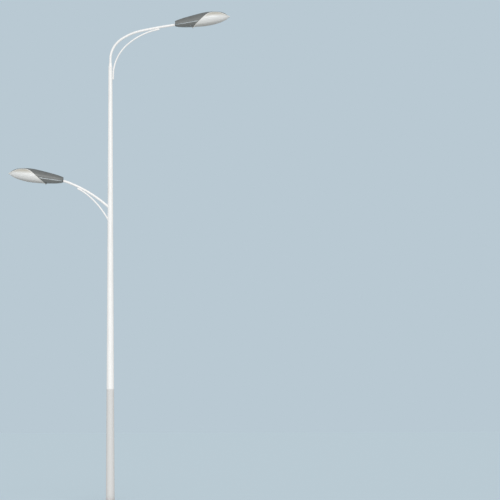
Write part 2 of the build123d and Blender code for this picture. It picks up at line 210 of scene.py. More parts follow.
def node(material, kind, *values, output=None, **named):
    """Adds one shader node and gives back its named output, or else its first. Values go to its
    inputs in order. A name with a capital is an input, and any other name is a setting."""
    tree = material.node_tree
    made = tree.nodes.new(f"ShaderNode{kind}")
    for name, value in named.items():
        if name[0].islower():
            setattr(made, name, value)
    inputs = list(zip((socket for socket in made.inputs if socket.enabled), values))
    inputs += [(made.inputs[n.replace("_", " ")], v) for n, v in named.items() if n[0].isupper()]
    for socket, value in inputs:
        if isinstance(value, bpy.types.NodeSocket):
            tree.links.new(value, socket)
        else:
            socket.default_value = value
    if output:
        return made.outputs[output]
    return next((socket for socket in made.outputs if socket.enabled), None)


def new_material(name, **sockets):
    """A material whose Principled shader has these constant sockets."""
    made = bpy.data.materials.new(name)
    made.use_nodes = True
    for socket, value in sockets.items():
        shader(made).inputs[socket.replace("_", " ")].default_value = value
    made.diffuse_color = shader(made).inputs["Base Color"].default_value
    return made


def shader(material):
    return material.node_tree.nodes["Principled BSDF"]


def drive(material, **sockets):
    """Links outputs to the shader's sockets."""
    for socket, output in sockets.items():
        material.node_tree.links.new(output, shader(material).inputs[socket.replace("_", " ")])


def facing_up(material):
    """How far the surface of the closed, hanging luminaire faces up, from -1 to 1."""
    normal = node(material, "TexCoord", output="Normal")
    return node(material, "SeparateXYZ", normal, output="Z")


def powder_coated_steel(look):
    """Polyester powder baked on galvanised steel: a smooth white gloss with faint orange peel and
    soft vertical rain marks. Up to above head height it is drawn greyer and duller, and just
    above the ground there is splashed dirt."""
    made = new_material("polyester_powder_coat", Base_Color=look.paint, Roughness=0.32, IOR=1.5)
    place = node(made, "TexCoord", output="Object")
    # Rain runs are about 28 mm wide and far longer, splashes 35 mm, and waves in the gloss 90 mm.
    drawn_out = node(made, "Mapping", place, Scale=(1, 1, 0.06))
    runs = node(made, "TexNoise", drawn_out, Scale=1 / (28 * MM), Detail=3)
    rain = node(made, "MapRange", runs, 0.5, 0.75, 0, 0.5)
    aged = node(made, "Mix", rain, look.paint, look.weathered, data_type="RGBA")
    height = node(made, "SeparateXYZ", place, output="Z")
    edge = 12 * MM  # half the width over which the greyer lower paint blends into the rest
    # Below this height the paint is drawn greyer and duller.
    lower_share = node(made, "MapRange", height, look.lower_tone_height + edge, look.lower_tone_height - edge)
    lower_toned = node(made, "Mix", lower_share, aged, look.lower_tone, data_type="RGBA")
    near_ground = node(made, "MapRange", height, look.grime_height, PLATE_TOP)
    dirt = node(made, "TexNoise", place, Scale=1 / (35 * MM), Detail=5, Roughness=0.65)
    blotches = node(made, "MapRange", dirt, 0.35, 0.75)
    splashed = node(made, "Math", near_ground, blotches, operation="MULTIPLY")
    waves = node(made, "TexNoise", place, Scale=1 / (90 * MM), Detail=3)
    gloss = node(made, "MapRange", waves, 0.3, 0.7, 0.26, 0.4)
    peel = node(made, "TexNoise", place, Scale=1 / look.orange_peel)
    drive(
        made,
        Base_Color=node(made, "Mix", splashed, lower_toned, look.grime, data_type="RGBA"),
        Roughness=node(made, "Math", lower_share, 0.2, gloss, operation="MULTIPLY_ADD"),
        Normal=node(made, "Bump", Height=peel, Distance=0.12 * MM, Strength=0.5),
    )
    return made


def galvanised_steel(look):
    """Hot-dip galvanised steel: flat grey zinc crystals, each a little lighter or darker."""
    made = new_material("hot_dip_galvanised_steel", Base_Color=look.zinc, Metallic=0.85, Roughness=0.45)
    place = node(made, "TexCoord", output="Object")
    crystals = node(made, "TexVoronoi", place, Scale=1 / look.spangle, output="Color")
    tone = node(made, "SeparateColor", crystals, output="Red")
    patched = node(made, "Mix", tone, look.dark_zinc, look.zinc, data_type="RGBA")
    # Stains are about 60 mm across and the ripples of the cooled zinc 5 mm.
    clouds = node(made, "TexNoise", place, Scale=1 / (60 * MM), Detail=4)
    stain = node(made, "MapRange", clouds, 0.45, 0.8, 0, 0.5)
    ripples = node(made, "TexNoise", place, Scale=1 / (5 * MM), Detail=3)
    drive(
        made,
        Base_Color=node(made, "Mix", stain, patched, look.dark_zinc, data_type="RGBA"),
        Roughness=node(made, "MapRange", tone, 0, 1, 0.38, 0.58),
        Normal=node(made, "Bump", Height=ripples, Distance=0.2 * MM, Strength=0.4),
    )
    return made


def coated_casting(look):
    """Grey stove coat on die-cast aluminium: satin, with the casting's fine grit under it and
    painted shade, broken into patches, on what faces up."""
    made = new_material("stove_coated_cast_aluminium", Base_Color=look.housing, Roughness=0.4, IOR=1.5)
    place = node(made, "TexCoord", output="Object")
    # Painted shade: what faces up is drawn darker, in patches.
    settled = node(made, "MapRange", facing_up(made), 0, 0.85, 0, 0.9)
    # The painted shade on what faces up is broken into patches about 70 mm across. The real grit is finer
    # and is drawn coarse enough to show.
    clouds = node(made, "TexNoise", place, Scale=1 / (70 * MM), Detail=4)
    patches = node(made, "MapRange", clouds, 0.35, 0.7, 0.5, 1)
    top_shade = node(made, "Math", settled, patches, operation="MULTIPLY")
    grit = node(made, "TexNoise", place, Scale=1 / look.casting_grit, Detail=1)
    drive(
        made,
        Base_Color=node(made, "Mix", top_shade, look.housing, look.shaded_housing_top, data_type="RGBA"),
        Roughness=node(made, "MapRange", top_shade, 0, 0.6, 0.36, 0.6),
        Normal=node(made, "Bump", Height=grit, Distance=0.15 * MM, Strength=0.35),
    )
    return made


def bare_casting(look):
    """Sand-cast aluminium left bare: dull grey with an open, gritty grain."""
    made = new_material("sand_cast_aluminium", Base_Color=look.casting, Metallic=0.9, Roughness=0.55)
    place = node(made, "TexCoord", output="Object")
    grit = node(made, "TexNoise", place, Scale=1 / look.casting_grit, Detail=3)
    drive(
        made,
        Roughness=node(made, "MapRange", grit, 0.3, 0.7, 0.48, 0.68),
        Normal=node(made, "Bump", Height=grit, Distance=0.3 * MM, Strength=0.6),
    )
    return made


def enamelled_rim(look):
    """White stove enamel on die-cast aluminium: an even soft gloss that runs a little thin over the
    casting's grain and has chalked in patches."""
    made = new_material("white_stove_enamel", Base_Color=look.rim, Roughness=0.34, IOR=1.5)
    place = node(made, "TexCoord", output="Object")
    # Chalked patches are about 40 mm across. The casting's grain is drawn 2.5 mm wide so that it shows.
    clouds = node(made, "TexNoise", place, Scale=1 / (40 * MM), Detail=4)
    chalk = node(made, "MapRange", clouds, 0.4, 0.75, 0, 0.7)
    grain = node(made, "TexNoise", place, Scale=1 / (2.5 * MM))
    drive(
        made,
        Base_Color=node(made, "Mix", chalk, look.rim, look.chalked_rim, data_type="RGBA"),
        Roughness=node(made, "MapRange", chalk, 0, 0.7, 0.3, 0.55),
        Normal=node(made, "Bump", Height=grain, Distance=0.08 * MM, Strength=0.4),
    )
    return made


def anodised_highlight_moulding(look):
    """Satin anodised aluminium extrusion, brushed along its length: a soft, even sheen with fine
    lines, drawn light so that it also stands in as a painted highlight along the housing's waist."""
    made = new_material("satin_anodised_aluminium", Base_Color=look.highlight_moulding, Metallic=0.9, Roughness=0.36)
    place = node(made, "TexCoord", output="Object")
    # The real brush lines are 0.1 mm apart; they are drawn 2 mm apart so that they show.
    stretched = node(made, "Mapping", place, Scale=(0.04, 1, 1))
    lines = node(made, "TexNoise", stretched, Scale=1 / (2 * MM))
    drive(
        made,
        Roughness=node(made, "MapRange", lines, 0.3, 0.7, 0.28, 0.44),
        Normal=node(made, "Bump", Height=lines, Distance=0.05 * MM, Strength=0.4),
    )
    return made


def fluted_glass(side, look):
    """Pressed opal-white glass with lengthwise flutes: pale, softly see-through, with long highlights
    from the relief of each flute, painted shade in the hollows between them, tan dust on its crown
    and painted shade along its lowest line."""
    made = new_material(
        f"{side}_fluted_pressed_glass",
        Base_Color=look.glass,
        Roughness=0.34,
        IOR=1.52,
        Transmission_Weight=0.12,
    )
    place = head_place(side)
    # Place along and round the bowl's own axis. Real flutes are 8 mm wide; they are drawn about
    # three times as wide so that they show at the size of the picture.
    own = node(
        made,
        "Mapping",
        node(made, "TexCoord", output="Object"),
        Location=place @ Vector((0, 0, 20 * MM)),
        Rotation=place.to_euler(),
        vector_type="TEXTURE",
    )
    aside = node(made, "SeparateXYZ", own, output="Y")
    above = aside.node.outputs["Z"]
    angle = node(made, "Math", aside, above, operation="ARCTAN2")
    turns = node(made, "Math", angle, look.flutes, operation="MULTIPLY")
    crest = node(made, "MapRange", node(made, "Math", turns, operation="SINE"), -1, 1)
    # Painted shade in the hollows between flutes, with the crests left in the glass's own colour.
    flute_shaded_glass = node(made, "Mix", crest, look.glass_hollow_shade, look.glass, data_type="RGBA")
    upward = facing_up(made)
    dust = node(made, "MapRange", upward, 0.05, 0.8, 0, 0.85)
    dusty = node(made, "Mix", dust, flute_shaded_glass, look.glass_dust, data_type="RGBA")
    # Painted shade along the bowl's lowest part, where it faces down.
    underside_shade = node(made, "MapRange", upward, -0.75, -0.98, 0, 0.6)
    drive(
        made,
        Base_Color=node(made, "Mix", underside_shade, dusty, look.glass_underside_shade, data_type="RGBA"),
        Normal=node(made, "Bump", Height=crest, Distance=look.flute_depth, Strength=0.8),
    )
    return made


def bright_reflector(look):
    """Bright anodised aluminium sheet, pressed with shallow dimples that break up the lamp's image."""
    made = new_material("bright_anodised_aluminium", Base_Color=look.reflector, Metallic=1.0, Roughness=0.12)
    place = node(made, "TexCoord", output="Object")
    dimples = node(made, "TexVoronoi", place, Scale=1 / look.dimple, feature="SMOOTH_F1")
    drive(made, Normal=node(made, "Bump", Height=dimples, Distance=1.2 * MM, Strength=0.6))
    return made


def moulded_rubber(look):
    """Moulded EPDM rubber: matt black-grey with a faint dusty bloom."""
    made = new_material("moulded_epdm_rubber", Base_Color=look.rubber, Roughness=0.8, IOR=1.52)
    place = node(made, "TexCoord", output="Object")
    # Blooms are about 25 mm across. The grain of the mould is drawn 1.5 mm wide so that it shows.
    clouds = node(made, "TexNoise", place, Scale=1 / (25 * MM), Detail=3)
    bloom = node(made, "MapRange", clouds, 0.4, 0.75, 0, 0.35)
    grain = node(made, "TexNoise", place, Scale=1 / (1.5 * MM))
    drive(
        made,
        Base_Color=node(made, "Mix", bloom, look.rubber, look.rubber_bloom, data_type="RGBA"),
        Normal=node(made, "Bump", Height=grain, Distance=0.1 * MM, Strength=0.4),
    )
    return made


def glazed_ceramic(look):
    """Glazed steatite: ivory body under a clear, slightly uneven glaze."""
    made = new_material(
        "glazed_steatite_ceramic",
        Base_Color=look.ceramic,
        Roughness=0.35,
        IOR=1.5,
        Coat_Weight=1.0,
        Coat_Roughness=0.06,
    )
    place = node(made, "TexCoord", output="Object")
    # Specks are up to 3 mm across, and waves in the glaze 12 mm.
    dots = node(made, "TexNoise", place, Scale=1 / (3 * MM), Detail=4)
    specks = node(made, "MapRange", dots, 0.62, 0.75, 0, 0.4)
    waves = node(made, "TexNoise", place, Scale=1 / (12 * MM))
    drive(
        made,
        Base_Color=node(made, "Mix", specks, look.ceramic, look.ceramic_speck, data_type="RGBA"),
        Normal=node(made, "Bump", Height=waves, Distance=0.2 * MM, Strength=0.3),
    )
    return made


def stainless_steel(look):
    """Drawn and machined stainless steel: bright, with short streaks from the tool."""
    made = new_material("machined_stainless_steel", Base_Color=look.stainless, Metallic=1.0, Roughness=0.26)
    # Tool marks are drawn 1 mm apart, ten times the real ones, so that they show.
    place = node(made, "TexCoord", output="Object")
    marks = node(made, "TexNoise", node(made, "Mapping", place, Scale=(1, 0.1, 1)), Scale=1 / MM)
    drive(
        made,
        Roughness=node(made, "MapRange", marks, 0.3, 0.7, 0.18, 0.36),
        Normal=node(made, "Bump", Height=marks, Distance=0.03 * MM, Strength=0.4),
    )
    return made


def lamp_glass(look):
    """Drawn hard glass of the lamp's outer bulb: clear, with slight waves from the drawing."""
    made = new_material(
        "drawn_hard_glass", Base_Color=look.bulb, Roughness=0.02, IOR=1.47, Transmission_Weight=1.0
    )
    # Waves from the drawing are about 30 mm long.
    waves = node(made, "TexNoise", node(made, "TexCoord", output="Object"), Scale=1 / (30 * MM))
    drive(made, Normal=node(made, "Bump", Height=waves, Distance=0.3 * MM, Strength=0.3))
    return made


def arc_tube_ceramic(look):
    """Sintered alumina: chalk white and faintly translucent, with a dull skin."""
    made = new_material(
        "sintered_alumina",
        Base_Color=look.alumina,
        Roughness=0.5,
        IOR=1.76,
        Subsurface_Weight=0.2,
        Subsurface_Radius=(4 * MM, 3.5 * MM, 3 * MM),
    )
    # The sintered grain is far below a tenth of a millimetre; it is drawn 2 mm wide so that it shows.
    grain = node(made, "TexNoise", node(made, "TexCoord", output="Object"), Scale=1 / (2 * MM))
    drive(made, Roughness=node(made, "MapRange", grain, 0.3, 0.7, 0.4, 0.6))
    return made


# Meshes


def finish_piece(name, mesh, material, body, place=None, sharp=35):
    """Makes one named piece of a bmesh, with its edges, material, place and body."""
    data = bpy.data.meshes.new(name)
    bmesh.ops.recalc_face_normals(mesh, faces=mesh.faces)
    mesh.to_mesh(data)
    mesh.free()
    data.polygons.foreach_set("use_smooth", [True] * len(data.polygons))
    data.set_sharp_from_angle(angle=radians(sharp))
    piece = bpy.data.objects.new(name, data)
    bpy.context.scene.collection.objects.link(piece)
    data.materials.append(material)
    if place is not None:
        piece.matrix_world = place
    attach(piece, body)
    return piece


def hexed(apothem, angle):
    """Distance to the side of a hexagon in the given direction."""
    return apothem / cos((angle + pi / 6) % (pi / 3) - pi / 6)


def skin(mesh, rings, closed):
    """Faces from each ring of corners to the next. Open ends get a flat face each, and a closed
    body joins its last ring to its first."""
    for ring, following in zip(rings, rings[1:] + rings[:1] if closed else rings[1:]):
        for i in range(len(ring)):
            j = (i + 1) % len(ring)
            mesh.faces.new((ring[i], ring[j], following[j], following[i]))
    if not closed:
        mesh.faces.new(rings[0])
        mesh.faces.new(rings[-1])
    return mesh


def turned(rows, closed=False, around=48, mesh=None, place=None):
    """Round body from rows of (radius, height). A third word, hex, makes a row six-sided."""
    mesh = mesh or bmesh.new()
    place = place or Matrix.Identity(4)
    rings = []
    for radius, height, *shape in rows:
        ring = []
        for step in range(around):
            angle = tau * step / around
            reach = hexed(radius, angle) if shape else radius
            ring.append(mesh.verts.new(place @ Vector((reach * cos(angle), reach * sin(angle), height))))
        rings.append(ring)
    return skin(mesh, rings, closed)


def in_mm(*rows):
    """Rows of a turned body that are given in millimetres."""
    return [(radius * MM, height * MM, *shape) for radius, height, *shape in rows]


def threaded_stud(radius, height, pitch, around=36):
    """Stud with a real helical thread and a flat, chamfered end."""
    mesh = bmesh.new()
    rows = int(height / pitch) * 2 - 3  # two to a turn, up to just below the end
    groove = pitch * 0.45
    rings = []
    for step in range(around):
        angle = tau * step / around
        ring = []
        for row in range(rows):
            reach = radius - (row % 2) * groove
            lift = pitch * (row / 2 + step / around)
            ring.append(mesh.verts.new((reach * cos(angle), reach * sin(angle), lift)))
        rings.append(ring)
    for step in range(around - 1):
        for row in range(rows - 1):
            a, b = rings[step], rings[step + 1]
            mesh.faces.new((a[row], b[row], b[row + 1], a[row + 1]))
    for row in range(rows - 3):
        a, b = rings[-1], rings[0]
        mesh.faces.new((a[row], b[row + 2], b[row + 3], a[row + 1]))
    core = radius - pitch * 0.3
    chamfer = 2 * MM
    turned([(core, 0), (core, height - chamfer), (core - chamfer, height)], mesh=mesh)
    return mesh


def oval(wide, high, count):
    """Points round an oval section."""
    return [(wide * cos(tau * i / count), high * sin(tau * i / count)) for i in range(count)]


def swept(path, section, up, closed=False, swell=None, mesh=None):
    """Body of a section carried along a path. Section points are (aside, up) from the path."""
    mesh = mesh or bmesh.new()
    count = len(path)
    rings = []
    for i, point in enumerate(path):
        ahead = path[(i + 1) % count] if closed or i + 1 < count else point
        behind = path[i - 1] if closed or i else point
        along = (ahead - behind).normalized()
        aside = along.cross(up).normalized()
        rise = aside.cross(along)
        grow = swell[i] if swell else 1
        rings.append([mesh.verts.new(point + grow * (aside * a + rise * b)) for a, b in section])
    return skin(mesh, rings, closed)


def even_steps(path, step, closed):
    """Points along a path, the given step apart."""
    ends = path[1:] + path[:1] if closed else path[1:]
    total = sum((b - a).length for a, b in zip(path, ends))
    count = max(4, round(total / step))
    spacing = total / count
    points, travelled, wanted = [], 0.0, 0.0
    for a, b in zip(path, ends):
        length = (b - a).length
        while wanted < travelled + length - 1e-9 and len(points) < count:
            points.append(a.lerp(b, (wanted - travelled) / length))
            wanted += spacing
        travelled += length
    return points if closed else points + [path[-1]]


def weld_bead(name, paths, sizes, material, up=UP, closed=False):
    """Rippled fillet beads along some paths, as one piece."""
    mesh = bmesh.new()
    steps_per_ripple = 4
    for path in paths:
        points = even_steps(path, sizes.ripple / steps_per_ripple, closed)
        swell = [0.9 + 0.1 * sin(tau * i / steps_per_ripple) for i in range(len(points))]
        if not closed:
            swell[0] = swell[-1] = 0.45  # ends that run out thin
        swept(points, oval(sizes.weld, sizes.weld, 10), up, closed, swell, mesh)
    return finish_piece(name, mesh, material, "root", sharp=80)


# Places


def pole_radius(height):
    share = (height - POLE_FOOT) / (POLE_TOP - POLE_FOOT)
    return POLE_FOOT_RADIUS + (POLE_TOP_RADIUS - POLE_FOOT_RADIUS) * share


def along_bend(place, slope, radius, flattened):
    """Where a bend that starts at a place and slope has flattened to another slope."""
    out, height = place
    start, end = radians(slope), radians(flattened)
    return out + radius * (sin(start) - sin(end)), height + radius * (cos(end) - cos(start))


def circle(radius, height):
    return [Vector((x, y, height)) for x, y in oval(radius, radius, 96)]


def pole_joint(side, out, height, slope, bend, radius):
    """Curve where a tube of the given radius meets the pole's skin. The tube's centre line starts
    at a place and slope inside the pole and flattens with its bend, or is straight without one."""
    points = []
    for across, above in oval(radius, radius, 72):
        near, far = 0.0, 0.35  # metres along the tube, short of the skin and past it
        for _ in range(40):
            run = (near + far) / 2
            tilt = radians(slope) - (run / bend if bend else 0)
            if bend:
                x, z = along_bend((out, height), slope, bend, tilt * 180 / pi)
            else:
                x, z = out + run * cos(tilt), height + run * sin(tilt)
            x -= above * sin(tilt)
            z += above * cos(tilt)
            if sqrt(max(x, 0) ** 2 + across ** 2) < pole_radius(z):
                near = run
            else:
                far = run
        points.append(Vector((side * x, across, z)))
    return points


def crease(large, small, weld):
    """Bead between two touching tubes: distance toward the small one, and aside."""
    apart = large + small
    lift = weld * 0.45
    first, second = large + lift, small + lift
    toward = (apart ** 2 + first ** 2 - second ** 2) / (2 * apart)
    return toward, sqrt(first ** 2 - toward ** 2)


def upper_last_bend():
    """Start, slope and radius of the upper arm's last bend."""
    place, slope = (0, POLE_TOP + UPPER_RISE), 90
    for radius, flattened in UPPER_BENDS[:-1]:
        place = along_bend(place, slope, radius, flattened)
        slope = flattened
    return place, slope, UPPER_BENDS[-1][0]


def head_place(side):
    """Place of a luminaire in the row frame, found from its hinge."""
    joint = next(j for j in frame["joints"] if j["name"] == f"{side}_bowl_hinge")
    if side == "upper":
        turn = Matrix.Rotation(-radians(HEAD_TILT), 4, "Y")
    else:
        turn = Matrix.Rotation(radians(HEAD_TILT), 4, "Y") @ Matrix.Rotation(pi, 4, "Z")
    return Matrix.Translation(joint["pos_m"]) @ turn @ Matrix.Translation(-HINGE)


def skin_finder(node_name):
    """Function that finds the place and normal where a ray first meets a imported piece."""
    data = frame["nodes"][node_name].data
    data.calc_loop_triangles()
    tree = BVHTree.FromPolygons(
        [v.co for v in data.vertices], [tuple(t.vertices) for t in data.loop_triangles]
    )
    return lambda start, toward: tree.ray_cast(start, toward)[:2]


def give(names, material):
    """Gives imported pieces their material."""
    for name in names:
        data = frame["nodes"][name].data
        data.materials.clear()
        data.materials.append(material)


def made_material(name, make, *values):
    """A material by name, made the first time it is asked for."""
    return bpy.data.materials.get(name) or make(*values)


def paint(context):
    return made_material("polyester_powder_coat", powder_coated_steel, context.scene.street_light_steelwork)


def zinc(context):
    return made_material("hot_dip_galvanised_steel", galvanised_steel, context.scene.street_light_steelwork)


def stainless(context):
    return made_material("machined_stainless_steel", stainless_steel, context.scene.street_light_luminaires)


def rubber(context):
    return made_material("moulded_epdm_rubber", moulded_rubber, context.scene.street_light_luminaires)


# Operators


class STREETLIGHT_OT_coat_steelwork(Operator):
    """Coat the pole, arms, braces and door, and galvanise the base plate."""

    bl_idname = "streetlight.coat_steelwork"
    bl_label = "Coat Steelwork"

    def execute(self, context):
        painted = ["pole_door_section", "pole_shaft", "access_door", "pole_top_collar"]
        painted += [f"{side}_{piece}" for side in SIDES for piece in ("arm", "brace")]
        give(painted, paint(context))
        give(["base_plate", "door_frame"], zinc(context))
        return {"FINISHED"}


class STREETLIGHT_OT_finish_luminaires(Operator):
    """Give both luminaires their coats, glass, seals and metals."""

    bl_idname = "streetlight.finish_luminaires"
    bl_label = "Finish Luminaires"

    def execute(self, context):
        look = context.scene.street_light_luminaires
        casting, rim = coated_casting(look), enamelled_rim(look)
        finishes = {
            "canopy": casting,
            "tail_pan": casting,
            "spigot_clamp": bare_casting(look),
            "gasket": rubber(context),
            "bowl_frame": rim,
            "nose_latch": rim,
            "hinge_pin": stainless(context),
            "reflector": bright_reflector(look),
            "lampholder": glazed_ceramic(look),
            "lamp": lamp_glass(look),
        }
        for side in SIDES:
            for piece, material in finishes.items():
                give([f"{side}_{piece}"], material)
            give([f"{side}_bowl"], fluted_glass(side, look))
        return {"FINISHED"}


class STREETLIGHT_OT_bolt_down(Operator):
    """Stand a threaded stud, washer and nut in each hole of the base plate."""

    bl_idname = "streetlight.bolt_down"
    bl_label = "Bolt Down"

    def execute(self, context):
        sizes = context.scene.street_light_fastenings
        half = sizes.bolt_spacing / 2
        hole = sizes.stud / 2 + 0.6 * MM
        edge, chamfer = 1 * MM, 2.5 * MM
        coat = zinc(context)
        washer_edge = sizes.washer / 2
        washer_top = PLATE_TOP + sizes.washer_thickness
        flat = sizes.nut_width / 2
        face = flat * 0.97  # round faces of the nut
        nut_top = washer_top + sizes.nut_height
        for number, (x, y) in enumerate(((half, half), (-half, half), (-half, -half), (half, -half)), 1):
            turn = radians(17 * number)  # each is tightened a little further round
            place = Matrix.Translation((x, y, 0)) @ Matrix.Rotation(turn, 4, "Z")
            stud = threaded_stud(sizes.stud / 2, sizes.stud_height, sizes.pitch)
            washer = turned(
                [
                    (hole, PLATE_TOP),
                    (washer_edge - edge, PLATE_TOP),
                    (washer_edge, PLATE_TOP + edge),
                    (washer_edge, washer_top - edge),
                    (washer_edge - edge, washer_top),
                    (hole, washer_top),
                ],
                closed=True,
            )
            nut = turned(
                [
                    (hole, washer_top + edge),
                    (hole + edge, washer_top),
                    (face, washer_top),
                    (flat, washer_top + chamfer, "hex"),
                    (flat, nut_top - chamfer, "hex"),
                    (face, nut_top),
                    (hole + edge, nut_top),
                    (hole, nut_top - edge),
                ],
                closed=True,
                around=72,
            )
            for kind, mesh in (("stud", stud), ("washer", washer), ("nut", nut)):
                finish_piece(f"anchor_{kind}_{number}", mesh, coat, "root", place)
        return {"FINISHED"}


class STREETLIGHT_OT_weld_joints(Operator):
    """Run weld beads round the foot, the pole's girth, the collar, the arms and the braces."""

    bl_idname = "streetlight.weld_joints"
    bl_label = "Weld Joints"

    def execute(self, context):
        sizes = context.scene.street_light_fastenings
        coat = paint(context)
        lift = sizes.weld * 0.3  # bead's middle, out of its corner
        ground_down = sizes.weld * 0.7

        def bead(name, paths, up=UP, closed=False):
            weld_bead(name, paths, sizes, coat, up, closed)

        foot = pole_radius(POLE_FOOT) + lift
        bead("foot_weld", [circle(foot, POLE_FOOT + lift)], closed=True)
        bead("collar_weld", [circle(pole_radius(POLE_TOP), POLE_TOP)], closed=True)
        bead("girth_weld", [circle(pole_radius(POLE_JOINT) - ground_down, POLE_JOINT)], closed=True)
        bead("arm_root_weld", [circle(ARM_RADIUS + lift, COLLAR_TOP + lift)], closed=True)

        out, height = LOWER_ARM_START
        arm_joint = pole_joint(-1, out, height, LOWER_ARM_SLOPE, LOWER_ARM_BEND, ARM_RADIUS + lift)
        bead("lower_arm_weld", [arm_joint], up=Vector((1, 0, 0)), closed=True)
        start = pole_radius(LOWER_BRACE_START) - LOWER_BRACE_INSET
        brace_joint = pole_joint(-1, start, LOWER_BRACE_START, LOWER_BRACE_SLOPE, None, BRACE_RADIUS + lift)
        bead("lower_brace_foot_weld", [brace_joint], up=Vector((1, 0, 0)), closed=True)

        # Beads in the crease between two round tubes: their centres are found from both radii.
        near, aside = crease(pole_radius(UPPER_BRACE_FOOT), BRACE_RADIUS, sizes.weld)
        ends = UPPER_BRACE_FOOT + 4 * MM, UPPER_BRACE_FOOT + 45 * MM
        lines = [[Vector((near, a, end)) for end in ends] for a in (-aside, aside)]
        bead("upper_brace_foot_weld", lines, up=Vector((1, 0, 0)))
        drop, aside = crease(ARM_RADIUS, BRACE_RADIUS, sizes.weld)
        length, pieces = 100 * MM, 5
        for side, sign, bend, touch in (
            ("upper", 1, upper_last_bend(), UPPER_BRACE_TOUCH),
            ("lower", -1, (LOWER_ARM_START, LOWER_ARM_SLOPE, LOWER_ARM_BEND), LOWER_BRACE_TOUCH),
        ):
            run = length / bend[2] * 180 / pi
            lines = []
            for a in (-aside, aside):
                line = []
                for i in range(pieces + 1):
                    slope = touch + run * (1 - i / pieces)
                    x, z = along_bend(*bend, slope)
                    x += drop * sin(radians(slope))
                    z -= drop * cos(radians(slope))
                    line.append(Vector((sign * x, a, z)))
                lines.append(line)
            bead(f"{side}_brace_end_weld", lines)
        return {"FINISHED"}


class STREETLIGHT_OT_fasten_door(Operator):
    """Add the two locks of the access door."""

    bl_idname = "streetlight.fasten_door"
    bl_label = "Fasten Door"

    def execute(self, context):
        low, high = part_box("access_door")
        inset = 45 * MM
        for number, height in enumerate((low.z + inset, high.z - inset), 1):
            place = Matrix.Translation((0, pole_radius(height), height)) @ Matrix.Rotation(-pi / 2, 4, "X")
            body = in_mm((11, -2), (11, 0.6), (10, 1.6), (7.5, 1.8), (7, 1.4), (7, 0.4))
            key = in_mm((5, 0.4, "hex"), (5, 1.2, "hex"), (4, 1.5, "hex"))
            lock = turned(body + key)
            finish_piece(f"door_lock_{number}", lock, stainless(context), "root", place)
        return {"FINISHED"}


